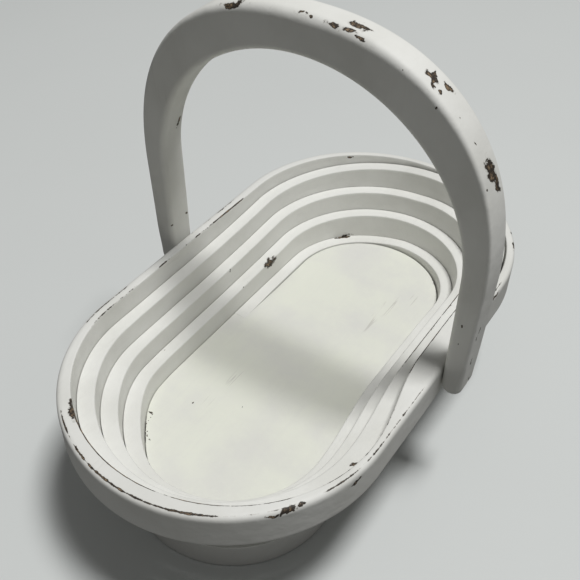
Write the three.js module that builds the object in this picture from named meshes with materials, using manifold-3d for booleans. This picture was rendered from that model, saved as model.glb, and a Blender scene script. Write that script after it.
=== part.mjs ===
// Oval wooden basket bowl: one thick board sawn in a spiral so that its rings drop into steps,
// with a swinging arched handle of thinner board and a plain oval foot under the floor.
// Millimetres. X runs along the bowl, Y across it through the handle's pivots, Z up from the table.

import * as THREE from 'three';
import { mergeVertices } from 'three/addons/utils/BufferGeometryUtils.js';
import Module from 'manifold-3d';

// Board and bowl
const BOARD = 25;
const HALF_STRAIGHT = 80.2;
const RIM_RADIUS = 101.3;
const RIM_BEVEL = 1.5;
const STEP_DROP = 14;
const STEPS = 4;
const FOOT_HEIGHT = 21;
const FOOT_MARGIN = 4.5;
const FOOT_BEVEL = 1;
const JOIN_GAP = 0.3;

// Spiral saw cut: wood left outside it on the left, round the far end, at the near tip and at the near
// right corner, how far apart its turns lie, and how much further apart round the near left corner
const LEFT_RIM_WIDTH = 7.7;
const FAR_RIM_WIDTH = 6.5;
const NEAR_RIM_WIDTH = 10.7;
const CORNER_RIM_WIDTH = 6;
const PITCH = 9.87;
const CORNER_SPREAD = 2;
const SPREAD_FROM_X = -60;
const BLADE_TILT = THREE.MathUtils.degToRad(3.4);
const JAM_GAP = 0.5;

// Where the turns start, where the cut shifts inward by one turn, and where the last half turn ends
const SEAM_X = 45;
const SHIFT_FROM_X = -80;
const SHIFT_TO_X = -8;
const CUT_END_X = 5;

// How far each turn has come down at the far tip and at the far left corner, how late it comes down on
// its way from the seam to the tip, and where it is fully down
const SINK_AT_TIP = [0.29, 0.44, 0.49, 0.68];
const SINK_DELAY = [2.4, 2.4, 0.7, 0.7];
const SINK_AT_CORNER = [0.66, 0.66, 0.71, 1.2];
const SINK_END_X = -16;

// Handle and pivots
const HANDLE_CLEARANCE = 0.6;
const HANDLE_BOARD = 20;
const LEG_END_WIDTH = 13;
const HANDLE_WIDTH = 15.4;
const CROWN_WIDTH = 23.7;
const SHOULDER_FULLNESS = 2.3;
const HANDLE_ROUND = 3;
const HANDLE_LEAN = THREE.MathUtils.degToRad(1.2);
const PIN_RADIUS = 3;
const PIN_INSET = 0.3;
const PIN_COVER = 2;
const RIGHT_PIN_DEPTH = FAR_RIM_WIDTH + PITCH / 2;

// Facets
const ARC_STEP = THREE.MathUtils.degToRad(7.5);
const STRAIGHT_STEP = 8;
const PIN_SIDES = 24;
const ROUND_FACETS = 3;
const WELD = 1e-4;

const LEFT_PIN_DEPTH = LEFT_RIM_WIDTH - PIN_COVER;
const FOOT_RADIUS = RIM_RADIUS - LEFT_RIM_WIDTH - PITCH * (STEPS - 1) + FOOT_MARGIN;
const CUT_MIDDLE = RIM_RADIUS - PITCH * STEPS / 2;
const SLOPE = Math.tan(BLADE_TILT);
const CUT_WIDTH = JAM_GAP + STEP_DROP * SLOPE;
const FLOOR_TOP = FOOT_HEIGHT + BOARD;
const RIM_TOP = FLOOR_TOP + STEPS * STEP_DROP;
const PIVOT_Z = RIM_TOP - BOARD / 2;
const HANDLE_INNER = RIM_RADIUS + HANDLE_CLEARANCE;
const LEG_END_OUTER = HANDLE_INNER + LEG_END_WIDTH;
const HANDLE_OUTER = HANDLE_INNER + HANDLE_WIDTH;
const HANDLE_CROWN = HANDLE_INNER + CROWN_WIDTH;

const PAINT = new THREE.MeshStandardMaterial({ color: 0xe4e3da, roughness: 0.8, metalness: 0 });
const WOOD = new THREE.MeshStandardMaterial({ color: 0xd9d5c8, roughness: 0.85, metalness: 0 });

const smooth = (t) => THREE.MathUtils.smoothstep(t, 0, 1);
const mix = THREE.MathUtils.lerp;

// Stations of one whole turn, from the seam on the right round the far end, the left side and the near end.
function stationsOfTurn() {
  const list = [];
  const straight = (side, from, to, ny) => {
    const count = Math.max(1, Math.round(Math.abs(to - from) / STRAIGHT_STEP));
    for (let i = 0; i <= count; i += 1) {
      list.push({ side, x: mix(from, to, i / count), nx: 0, ny });
    }
  };
  const arc = (side, x, from) => {
    const count = Math.round(Math.PI / ARC_STEP);
    for (let i = 1; i < count; i += 1) {
      const angle = from + Math.PI * i / count;
      list.push({ side, x, nx: Math.cos(angle), ny: Math.sin(angle) });
    }
  };
  straight('start', SEAM_X, HALF_STRAIGHT, -1);
  arc('far', HALF_STRAIGHT, -Math.PI / 2);
  straight('left', HALF_STRAIGHT, -HALF_STRAIGHT, 1);
  arc('near', -HALF_STRAIGHT, Math.PI / 2);
  straight('back', -HALF_STRAIGHT, SEAM_X, -1);
  return list;
}

// Wood outside the first turn of the cut at a station. On the near right the first turn swings out to
// the corner while the later ones keep the near tip's width.
function rimWidth(turn, station) {
  const nearRight = turn === 1 ? CORNER_RIM_WIDTH : NEAR_RIM_WIDTH;
  const tipShare = station.nx ** 2;
  if (station.side === 'left') {
    return LEFT_RIM_WIDTH;
  }
  if (station.side === 'near') {
    return mix(station.ny > 0 ? LEFT_RIM_WIDTH : nearRight, NEAR_RIM_WIDTH, tipShare);
  }
  if (station.side === 'back') {
    const shifted = smooth((station.x - SHIFT_FROM_X) / (SHIFT_TO_X - SHIFT_FROM_X));
    return mix(nearRight, FAR_RIM_WIDTH + PITCH, shifted);
  }
  return mix(station.ny > 0 ? LEFT_RIM_WIDTH : FAR_RIM_WIDTH, FAR_RIM_WIDTH, tipShare);
}

// Extra distance between turns at a station: it grows from the end of the left side round the near left
// corner and is gone at the near tip.
function spread(station) {
  const nearLeft = station.side === 'near' && station.ny > 0;
  if (station.side !== 'left' && !nearLeft) {
    return 0;
  }
  const whole = HALF_STRAIGHT + SPREAD_FROM_X + CUT_MIDDLE * Math.PI / 2;
  const along = (SPREAD_FROM_X - station.x + CUT_MIDDLE * Math.asin(-station.nx)) / whole;
  return CORNER_SPREAD * Math.sin(Math.PI * Math.max(0, along)) ** 2;
}

// Distance of the cut from the bowl's spine on its turn number `turn`.
function cutRadius(turn, station) {
  return RIM_RADIUS - rimWidth(turn, station) - (PITCH + spread(station)) * (turn - 1);
}

// Share of one step's drop that a turn has made when it reaches a station.
function sunk(turn, station) {
  const tip = SINK_AT_TIP[turn - 1];
  const corner = SINK_AT_CORNER[turn - 1];
  if (station.side === 'far' && station.ny > 0) {
    return smooth(mix(tip, corner, station.ny));
  }
  if (station.side === 'start' || station.side === 'far') {
    const whole = HALF_STRAIGHT - SEAM_X + CUT_MIDDLE * Math.PI / 2;
    const along = (station.x - SEAM_X + CUT_MIDDLE * Math.atan2(station.nx, -station.ny)) / whole;
    return smooth(tip * along ** SINK_DELAY[turn - 1]);
  }
  if (station.side === 'left') {
    const along = (HALF_STRAIGHT - station.x) / (HALF_STRAIGHT - SINK_END_X);
    return smooth(mix(corner, Math.max(corner, 1), along));
  }
  return 1;
}

function place(station, radius, z) {
  return new THREE.Vector3(station.x + station.nx * radius, station.ny * radius, z);
}

function meshGeometry(points, triangles) {
  const geometry = new THREE.BufferGeometry();
  geometry.setFromPoints(points);
  geometry.setIndex(triangles.flat());
  return geometry;
}

// Skins a run of convex sections that all have the same number of corners.
function skin(sections, closed) {
  const corners = sections[0].length;
  const points = sections.flat();
  const triangles = [];
  const spans = closed ? sections.length : sections.length - 1;
  for (let s = 0; s < spans; s += 1) {
    const here = s * corners;
    const next = ((s + 1) % sections.length) * corners;
    for (let c = 0; c < corners; c += 1) {
      const d = (c + 1) % corners;
      triangles.push([here + c, next + d, next + c], [here + c, here + d, next + d]);
    }
  }
  if (!closed) {
    const last = (sections.length - 1) * corners;
    for (let c = 1; c < corners - 1; c += 1) {
      triangles.push([0, c + 1, c], [last, last + c, last + c + 1]);
    }
  }
  return meshGeometry(points, triangles);
}

// Solid between stacked outlines that all have the same number of points, the first at the top.
function stack(outlines) {
  const count = outlines[0].length;
  const points = outlines.flat();
  const triangles = [];
  for (let o = 0; o < outlines.length - 1; o += 1) {
    for (let i = 0; i < count; i += 1) {
      const j = (i + 1) % count;
      const upper = o * count;
      const lower = upper + count;
      triangles.push([upper + i, lower + i, lower + j], [upper + i, lower + j, upper + j]);
    }
  }
  const contour = outlines[0].map((p) => new THREE.Vector2(p.x, p.y));
  const base = (outlines.length - 1) * count;
  for (const [a, b, c] of THREE.ShapeUtils.triangulateShape(contour, [])) {
    triangles.push([a, b, c], [base + a, base + c, base + b]);
  }
  return meshGeometry(points, triangles);
}

// One turn of the strip between two neighbouring cuts, on the way down from the step above.
function strip(turn, stations) {
  const sections = stations.map((station) => {
    const top = RIM_TOP - STEP_DROP * (turn - 1 + sunk(turn, station));
    const outer = cutRadius(turn, station) - CUT_WIDTH / 2;
    const inner = cutRadius(turn + 1, station) + CUT_WIDTH / 2;
    const taper = BOARD * SLOPE;
    return [
      place(station, outer, top),
      place(station, outer - taper, top - BOARD),
      place(station, inner - taper, top - BOARD),
      place(station, inner, top),
    ];
  });
  return skin(sections, false);
}

// Stations between two places on the turn, with the end faces drawn back by half the join gap.
function between(stations, first, last) {
  const part = stations.slice(first, last + 1).map((station) => ({ ...station }));
  const ends = [[part[0], part[1]], [part[part.length - 1], part[part.length - 2]]];
  for (const [end, neighbour] of ends) {
    end.x += Math.sign(neighbour.x - end.x) * JOIN_GAP / 2;
  }
  return part;
}

function rimGeometry(stations) {
  const bottom = RIM_TOP - BOARD;
  const section = (station, cut) => [
    place(station, RIM_RADIUS - RIM_BEVEL, RIM_TOP),
    place(station, RIM_RADIUS, RIM_TOP - RIM_BEVEL),
    place(station, RIM_RADIUS, bottom + RIM_BEVEL),
    place(station, RIM_RADIUS - RIM_BEVEL, bottom),
    place(station, cut + CUT_WIDTH / 2 - BOARD * SLOPE, bottom),
    place(station, cut + CUT_WIDTH / 2, RIM_TOP),
  ];
  const sections = stations.map((station) => section(station, cutRadius(1, station)));
  const seam = stations[stations.length - 1];
  sections[sections.length - 1] = section({ ...seam, x: seam.x - JOIN_GAP / 2 }, cutRadius(1, seam));
  const step = { ...seam, side: 'start', x: seam.x - JOIN_GAP / 2 };
  sections.push(section(step, cutRadius(1, step)));
  return skin(sections, true);
}

// The floor fills the last cut; on the far side that cut lies one turn further in than on the near side.
function floorGeometry(stations, cutEnd) {
  const radius = (station, index) => {
    const turn = index < cutEnd ? STEPS + 1 : STEPS;
    return cutRadius(turn, station) - CUT_WIDTH / 2;
  };
  const outline = (z, taper) => {
    const points = stations.map((station, index) => place(station, radius(station, index) - taper, z));
    const end = stations[cutEnd];
    points[cutEnd] = place({ ...end, x: end.x - JOIN_GAP / 2 }, radius(end, cutEnd) - taper, z);
    const inside = { ...end, x: end.x - JOIN_GAP / 2 };
    points.splice(cutEnd, 0, place(inside, radius(end, cutEnd - 1) - taper, z));
    points.pop();
    return points;
  };
  return stack([outline(FLOOR_TOP, 0), outline(FLOOR_TOP - BOARD, BOARD * SLOPE)]);
}

function footGeometry(stations) {
  const ring = stations.slice(0, -1);
  const outline = (radius, z) => ring.map((station) => place(station, radius, z));
  const top = FOOT_HEIGHT - JOIN_GAP;
  return stack([
    outline(FOOT_RADIUS, top),
    outline(FOOT_RADIUS, FOOT_BEVEL),
    outline(FOOT_RADIUS - FOOT_BEVEL, 0),
  ]);
}

// Distance of the handle's outer edge from the middle of its arch, which swells a little at the shoulders.
function archRadius(angle) {
  const across = Math.abs(Math.cos(angle)) / HANDLE_OUTER;
  const up = Math.sin(angle) / HANDLE_CROWN;
  return (across ** SHOULDER_FULLNESS + up ** SHOULDER_FULLNESS) ** (-1 / SHOULDER_FULLNESS);
}

// The handle is half of an oval band that fits round the rim, widest at its crown, with legs that narrow
// towards the pivots and are rounded about them. It stands leaning a little towards the near end.
function handleGeometry() {
  const middle = (HANDLE_INNER + LEG_END_OUTER) / 2;
  const half = LEG_END_WIDTH / 2;
  const count = Math.round(Math.PI / ARC_STEP);
  const shape = new THREE.Shape();
  shape.moveTo(-LEG_END_OUTER, 0);
  shape.lineTo(-HANDLE_OUTER, HALF_STRAIGHT);
  for (let i = 1; i < count; i += 1) {
    const angle = Math.PI * (1 - i / count);
    const radius = archRadius(angle);
    shape.lineTo(radius * Math.cos(angle), HALF_STRAIGHT + radius * Math.sin(angle));
  }
  shape.lineTo(HANDLE_OUTER, HALF_STRAIGHT);
  shape.lineTo(LEG_END_OUTER, 0);
  shape.absarc(middle, 0, half, 0, -Math.PI, true);
  shape.lineTo(HANDLE_INNER, HALF_STRAIGHT);
  shape.absarc(0, HALF_STRAIGHT, HANDLE_INNER, 0, Math.PI, false);
  shape.lineTo(-HANDLE_INNER, 0);
  shape.absarc(-middle, 0, half, 0, -Math.PI, true);
  const geometry = new THREE.ExtrudeGeometry(shape, {
    depth: HANDLE_BOARD - 2 * HANDLE_ROUND,
    bevelThickness: HANDLE_ROUND,
    bevelSize: HANDLE_ROUND,
    bevelOffset: -HANDLE_ROUND,
    bevelSegments: ROUND_FACETS,
    curveSegments: Math.round(Math.PI / ARC_STEP / 2),
  });
  geometry.translate(0, 0, HANDLE_ROUND - HANDLE_BOARD / 2);
  const upright = new THREE.Matrix4().makeBasis(
    new THREE.Vector3(0, 1, 0),
    new THREE.Vector3(0, 0, 1),
    new THREE.Vector3(1, 0, 0),
  );
  geometry.applyMatrix4(upright);
  geometry.rotateY(-HANDLE_LEAN);
  geometry.translate(0, 0, PIVOT_Z);
  return geometry;
}

// A round peg along Y between two distances from the middle, on the side of the given sign.
function pegGeometry(side, from, to, radius) {
  const geometry = new THREE.CylinderGeometry(radius, radius, to - from, PIN_SIDES);
  geometry.translate(0, side * (from + to) / 2, PIVOT_Z);
  return geometry;
}

const wasm = await Module();
wasm.setup();

function solid(geometry) {
  const bare = geometry.clone();
  bare.deleteAttribute('normal');
  bare.deleteAttribute('uv');
  const merged = mergeVertices(bare, WELD);
  return new wasm.Manifold(new wasm.Mesh({
    numProp: 3,
    vertProperties: Float32Array.from(merged.attributes.position.array),
    triVerts: Uint32Array.from(merged.index.array),
  }));
}

function drilled(geometry, bores) {
  const cut = bores.reduce((body, bore) => body.subtract(solid(bore)), solid(geometry)).getMesh();
  const result = new THREE.BufferGeometry();
  result.setAttribute('position', new THREE.BufferAttribute(Float32Array.from(cut.vertProperties), 3));
  result.setIndex(Array.from(cut.triVerts));
  return result;
}

const part = new THREE.Group();

function add(name, geometry, material) {
  geometry.computeVertexNormals();
  const mesh = new THREE.Mesh(geometry, material);
  mesh.name = name;
  part.add(mesh);
}

const turnStations = stationsOfTurn();
const lastStation = turnStations.length - 1;
const cutEndStation = turnStations.findIndex((s) => s.side === 'left' && s.x <= CUT_END_X);

const pinOuter = LEG_END_OUTER - PIN_INSET;
const sides = [
  { name: 'left_pin', sign: 1, depth: LEFT_PIN_DEPTH },
  { name: 'right_pin', sign: -1, depth: RIGHT_PIN_DEPTH },
];
const rimBores = sides.map(({ sign, depth }) => (
  pegGeometry(sign, RIM_RADIUS - depth - JOIN_GAP, HANDLE_INNER, PIN_RADIUS + JOIN_GAP)
));
const handleBores = sides.map(({ sign }) => (
  pegGeometry(sign, RIM_RADIUS, HANDLE_OUTER + HANDLE_WIDTH, PIN_RADIUS + JOIN_GAP)
));

add('rim', drilled(rimGeometry(turnStations), rimBores), PAINT);
['first_step', 'second_step', 'third_step'].forEach((name, index) => {
  add(name, strip(index + 1, between(turnStations, 0, lastStation)), PAINT);
});
add('fourth_step', strip(STEPS, between(turnStations, 0, cutEndStation)), PAINT);
add('floor_panel', floorGeometry(turnStations, cutEndStation), PAINT);
add('foot_block', footGeometry(turnStations), PAINT);
add('handle', drilled(handleGeometry(), handleBores), PAINT);
for (const { name, sign, depth } of sides) {
  add(name, pegGeometry(sign, RIM_RADIUS - depth, pinOuter, PIN_RADIUS), WOOD);
}

export default part;
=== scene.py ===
import math

import bmesh
import bpy
from mathutils import Matrix, Vector, noise


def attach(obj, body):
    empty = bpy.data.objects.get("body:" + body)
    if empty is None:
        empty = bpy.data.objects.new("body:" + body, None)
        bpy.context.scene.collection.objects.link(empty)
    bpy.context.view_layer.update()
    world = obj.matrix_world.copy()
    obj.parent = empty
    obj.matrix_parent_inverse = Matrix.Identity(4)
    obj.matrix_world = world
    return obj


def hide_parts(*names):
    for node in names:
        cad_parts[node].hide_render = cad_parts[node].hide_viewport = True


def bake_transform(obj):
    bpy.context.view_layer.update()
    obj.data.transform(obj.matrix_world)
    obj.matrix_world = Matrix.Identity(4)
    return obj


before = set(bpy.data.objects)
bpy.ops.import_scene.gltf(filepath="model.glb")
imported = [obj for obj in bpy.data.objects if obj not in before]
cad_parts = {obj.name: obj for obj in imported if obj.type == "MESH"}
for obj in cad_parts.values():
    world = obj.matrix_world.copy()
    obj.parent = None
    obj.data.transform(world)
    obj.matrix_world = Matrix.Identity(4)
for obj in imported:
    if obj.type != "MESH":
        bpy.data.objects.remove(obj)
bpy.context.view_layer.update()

# The foot: a plain oval board under the floor, of the same pine as the basket.
# It is glued to the floor's underside, its lower edge is sanded round, and it
# lifts the sunk floor off the table.
MM = 0.001
NEARLY = 0.01
BOARD = 25.0
FOOT_HEIGHT = 21.0
JOIN_GAP = 0.3
FOOT_TOP = FOOT_HEIGHT - JOIN_GAP
FLOOR_TOP = FOOT_HEIGHT + BOARD
FOOT_RADIUS = 68.5
FOOT_ROUND = 2.0
FOOT_WEAR = 0.7
FOOT_LAP = 8.0
LAP_TRIM = 1.0
SAWN_ROUND = 0.5
UNDER_RINGS = (0.0, 0.3, 0.6, 0.85)
FOOT_CUTS = (0.1, 0.3, 0.5, 0.7, 0.9)
HALF_STRAIGHT = 80.2
SEAM_X = 45.0
CUT_END_X = 5.0
SINK_END_X = -16.0
STRAIGHT_MARKS = (HALF_STRAIGHT, SEAM_X, CUT_END_X, SINK_END_X, -HALF_STRAIGHT)
STRAIGHT_STEP = 3.0
ARC_STEP = 2.0


def smooth(t):
    t = min(1.0, max(0.0, t))
    return t * t * (3.0 - 2.0 * t)


def mix(a, b, t):
    return a + (b - a) * t


def span(first, last, step):
    count = max(1, round(abs(last - first) / step))
    return [mix(first, last, i / count) for i in range(count + 1)]


def along_marks(marks, step):
    points = [marks[0]]
    for first, last in zip(marks, marks[1:]):
        points += span(first, last, step)[1:]
    return points


def oval_turn():
    """One turn round the oval from the seam on the right: side, spine x, outward x, outward y."""
    straight = along_marks(STRAIGHT_MARKS, STRAIGHT_STEP)
    bends = [math.radians(a) for a in span(-90.0, 90.0, ARC_STEP)]
    turn = [("start", x, 0.0, -1.0) for x in reversed(straight) if x > SEAM_X - NEARLY]
    turn += [("far", HALF_STRAIGHT, math.cos(a), math.sin(a)) for a in bends[1:]]
    turn += [("left", x, 0.0, 1.0) for x in straight[1:]]
    turn += [("near", -HALF_STRAIGHT, -math.cos(a), -math.sin(a)) for a in bends[1:]]
    turn += [("back", x, 0.0, -1.0) for x in reversed(straight) if x < SEAM_X + NEARLY][1:]
    return turn


TURN = oval_turn()
ROUND_CUTS = 4
ARRIS_WIDTH = 0.5
ARRIS_DEPTH = 0.45


def sanded(corners, flats):
    """Closed outline of a sawn section: corners are (radius, height, rounding, wear of the arris)."""
    outline = []
    for i, (r, z, rounding, _) in enumerate(corners):
        here = Vector((r, z))
        back = Vector(corners[i - 1][:2])
        after = corners[(i + 1) % len(corners)]
        ahead = Vector(after[:2])
        enter = here + (back - here).normalized() * rounding
        leave = here + (ahead - here).normalized() * rounding
        for j in range(ROUND_CUTS + 1):
            t = j / ROUND_CUTS
            outline.append(enter * (1 - t) ** 2 + here * 2 * t * (1 - t) + leave * t * t)
        arrive = ahead + (here - ahead).normalized() * after[2]
        for t in flats[i]:
            outline.append(leave.lerp(arrive, t))
    marked = []
    for p in outline:
        edge = 0.0
        for r, z, rounding, wear in corners:
            away = max(0.0, (p - Vector((r, z))).length - ARRIS_DEPTH * rounding)
            edge = max(edge, wear * math.exp(-((away / ARRIS_WIDTH) ** 2)))
        marked.append((p.x, p.y, edge))
    return marked


WOBBLE = 0.22
WOBBLE_LENGTH = 55.0
LIFT_SHARE = 0.6
LIFT_LAYER = 90.0
CALM_RADIUS = 20.0


def set_out(station, r, z):
    """A point at a radius and height on a station, with the slight waver of a hand-guided saw."""
    _, spine, ux, uy = station
    x = spine + ux * r
    y = uy * r
    waver = WOBBLE * noise.noise(Vector((x, y, 0.0)) / WOBBLE_LENGTH)
    lift = LIFT_SHARE * WOBBLE * noise.noise(Vector((x, y, LIFT_LAYER)) / WOBBLE_LENGTH)
    fade = min(1.0, r / CALM_RADIUS)
    return (x + ux * waver * fade, y + uy * waver * fade, z + lift)


RUB_LEAST = 0.18
RUB_SPREAD = 0.30
RUB_PATCH = 0.031


def rubbed_and_kerf_shaded(p, edge, rubs_and_kerf_shade):
    """How far the paint is gone on an arris, thinner where the basket is handled and knocked; along the kerfs
    the dark lines it gives are painted shade.
    """
    rub = RUB_LEAST + RUB_SPREAD * noise.noise(Vector(p) * RUB_PATCH)
    for x, y, z, reach, strength in rubs_and_kerf_shade:
        gap = (p[0] - x) ** 2 + (p[1] - y) ** 2 + (p[2] - z) ** 2
        rub += strength * math.exp(-gap / (reach * reach))
    return min(1.0, max(0.0, edge * rub))


WELD = 2e-6
SLIVER = 1e-6


def make_piece(name, sections, ring=False, tube=True, capped=True, rubs_and_kerf_shade=()):
    """Skins sections of (x, y, z, edge) in millimetres into a closed piece with its wear and the painted kerf
    shade marked.
    """
    bm = bmesh.new()
    worn_and_kerf_shade = bm.verts.layers.float.new("worn_and_kerf_shade")
    rows = []
    for section in sections:
        row = []
        for x, y, z, edge in section:
            v = bm.verts.new((x * MM, y * MM, z * MM))
            v[worn_and_kerf_shade] = rubbed_and_kerf_shaded((x, y, z), edge, rubs_and_kerf_shade)
            row.append(v)
        rows.append(row)
    count = len(rows[0])
    pairs = list(zip(rows, rows[1:])) + ([(rows[-1], rows[0])] if ring else [])
    for a, b in pairs:
        for j in range(count if tube else count - 1):
            k = (j + 1) % count
            bm.faces.new((a[j], a[k], b[k], b[j]))
    if capped and not ring:
        bm.faces.new(rows[0])
        bm.faces.new(rows[-1])
    bmesh.ops.remove_doubles(bm, verts=bm.verts, dist=WELD)
    bmesh.ops.dissolve_degenerate(bm, edges=bm.edges, dist=SLIVER)
    bmesh.ops.recalc_face_normals(bm, faces=bm.faces)
    mesh = bpy.data.meshes.new(name)
    bm.to_mesh(mesh)
    bm.free()
    piece = bpy.data.objects.new(name, mesh)
    bpy.context.collection.objects.link(piece)
    return piece


SHARP_ANGLE = math.radians(42.0)


def dress(piece, material):
    """Keeps each point's place for the paint, smooths the faces and puts the paint on."""
    mesh = piece.data
    place = mesh.attributes.new("place", "FLOAT_VECTOR", "POINT")
    for i, v in enumerate(mesh.vertices):
        place.data[i].vector = v.co
    for face in mesh.polygons:
        face.use_smooth = True
    mesh.set_sharp_from_angle(angle=SHARP_ANGLE)
    mesh.materials.append(material)


def knot(tree, kind, inputs, **settings):
    """Adds a shader node, with sockets given by name or number as values or as links."""
    made = tree.nodes.new(kind)
    for key, value in settings.items():
        setattr(made, key, value)
    for key, value in inputs.items():
        if isinstance(value, bpy.types.NodeSocket):
            tree.links.new(value, made.inputs[key])
        else:
            made.inputs[key].default_value = value
    return made


def stretched(tree, spot, scale, detail, roughness):
    """Noise drawn out by a scale for each axis, for grain, brush strokes and chips."""
    laid = knot(tree, "ShaderNodeMapping", {"Vector": spot, "Scale": scale})
    drawn = {"Vector": laid.outputs[0], "Scale": 1.0, "Detail": detail, "Roughness": roughness}
    return knot(tree, "ShaderNodeTexNoise", drawn).outputs["Fac"]


def ramp(tree, value, low, high, bottom=0.0, top=1.0):
    limits = {"Value": value, 1: low, 2: high, 3: bottom, 4: top}
    return knot(tree, "ShaderNodeMapRange", limits, interpolation_type="SMOOTHSTEP").outputs[0]


def combined(tree, a, b, operation):
    return knot(tree, "ShaderNodeMath", {0: a, 1: b}, operation=operation).outputs[0]


def blended(tree, amount, a, b):
    return knot(tree, "ShaderNodeMix", {0: amount, 6: a, 7: b}, data_type="RGBA").outputs[2]


TEAR = {"Scale": 130.0, "Detail": 3.0}
TEAR_MIDDLE = (0.5, 0.5, 0.5)
CHIP_SHAKE = 9.0
CHIP_DEPTH = 1.15


def torn(tree, spot):
    """Shakes the place of each point a little, so that chips get torn outlines."""
    shake = knot(tree, "ShaderNodeTexNoise", {"Vector": spot} | TEAR).outputs["Color"]
    shake = knot(tree, "ShaderNodeVectorMath", {0: shake, 1: TEAR_MIDDLE}, operation="SUBTRACT").outputs[0]
    shrunk = {0: shake, "Scale": CHIP_SHAKE * MM}
    shake = knot(tree, "ShaderNodeVectorMath", shrunk, operation="SCALE").outputs[0]
    return knot(tree, "ShaderNodeVectorMath", {0: spot, 1: shake}, operation="ADD").outputs[0]


def chipped(tree, spot, gone, chips):
    """Adds chips to the wear: each is (centre, way it runs, length, width) in millimetres."""
    for centre, way, length, width in chips:
        frame_of_chip = {
            "Vector": spot,
            "Location": Vector(centre) * MM,
            "Rotation": Vector(way).to_track_quat("X", "Z").to_euler(),
            "Scale": Vector((length, width, width)) * MM,
        }
        laid = knot(tree, "ShaderNodeMapping", frame_of_chip, vector_type="TEXTURE").outputs[0]
        away = knot(tree, "ShaderNodeVectorMath", {0: laid}, operation="LENGTH").outputs["Value"]
        fading = {0: away, 1: -CHIP_DEPTH, 2: CHIP_DEPTH}
        deep = knot(tree, "ShaderNodeMath", fading, operation="MULTIPLY_ADD")
        gone = combined(tree, gone, deep.outputs[0], "MAXIMUM")
    return gone


CRACK_SHOWN = 0.55
CRACK_CORE = 0.40
CRACK_NARROW = 0.4


def cracked(tree, spot, places):
    """Shows the drying cracks only round a few places: each is (x, y, reach) in millimetres."""
    shown = None
    for x, y, reach in places:
        near_it = {
            "Vector": spot,
            "Location": Vector((x, y, FLOOR_TOP)) * MM,
            "Scale": Vector((reach, CRACK_NARROW * reach, reach)) * MM,
        }
        laid = knot(tree, "ShaderNodeMapping", near_it, vector_type="TEXTURE").outputs[0]
        away = knot(tree, "ShaderNodeVectorMath", {0: laid}, operation="LENGTH").outputs["Value"]
        here = ramp(tree, away, CRACK_CORE, 1.0, CRACK_SHOWN, 0.0)
        shown = here if shown is None else combined(tree, shown, here, "MAXIMUM")
    return shown


CHALK = (0.770, 0.770, 0.735, 1.0)
THIN_CHALK = (0.695, 0.694, 0.655, 1.0)
SCUFF_GREY = (0.480, 0.465, 0.425, 1.0)
DARK_WOOD = (0.034, 0.027, 0.020, 1.0)
TAN_WOOD = (0.262, 0.184, 0.112, 1.0)
# Noise in the paint: scale on each axis, detail and roughness. Strokes and fibres take the grain's scale.
CLOUDS = ((19.0, 19.0, 19.0), 4.0, 0.55)
PATCHES = ((23.0, 31.0, 27.0), 2.0, 0.5)
GRIT = ((420.0, 420.0, 420.0), 4.0, 0.7)
FLAKES = ((240.0, 240.0, 240.0), 6.0, 0.70)
LUMPS = ((95.0, 95.0, 95.0), 3.0, 0.5)
STROKES = (3.0, 0.6)
FIBRES = (2.0, 0.5)
FIBRE_DRAW = 0.55
# Where each look sets in on its noise or wear: from, to, and the amounts before and after.
THIN_IN_CLOUDS = (0.35, 0.72)
THIN_IN_STROKES = (0.50, 0.80, 0.0, 0.22)
CRACK_LINE = (0.006, 0.020, 1.0, 0.0)
CRACK_PATCHES = (0.52, 0.68)
SCUFFED = (0.36, 0.56, 0.0, 0.55)
SCUFFED_BY_WEAR = (0.05, 0.20)
BARE = (0.53, 0.60)
BARE_BY_WEAR = (0.08, 0.18)
TAN_IN_GRIT = (0.44, 0.62)
DARK_AT_EDGE = (0.66, 0.92, 1.0, 0.0)
GLOSS = (0.3, 0.7, 0.56, 0.70)
NOISE_MIDDLE = 0.5
FLAKE_REACH = 1.25
GRIT_REACH = 0.30
STROKE_RELIEF = 0.40
GRIT_RELIEF = 0.16
LUMP_RELIEF = 2.6
CRACK_RELIEF = -0.8
BARE_RELIEF = -0.9
RELIEF_STRENGTH = 0.45
RELIEF_DEPTH = 0.35
PAINT_SPECULAR = 0.35


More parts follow.
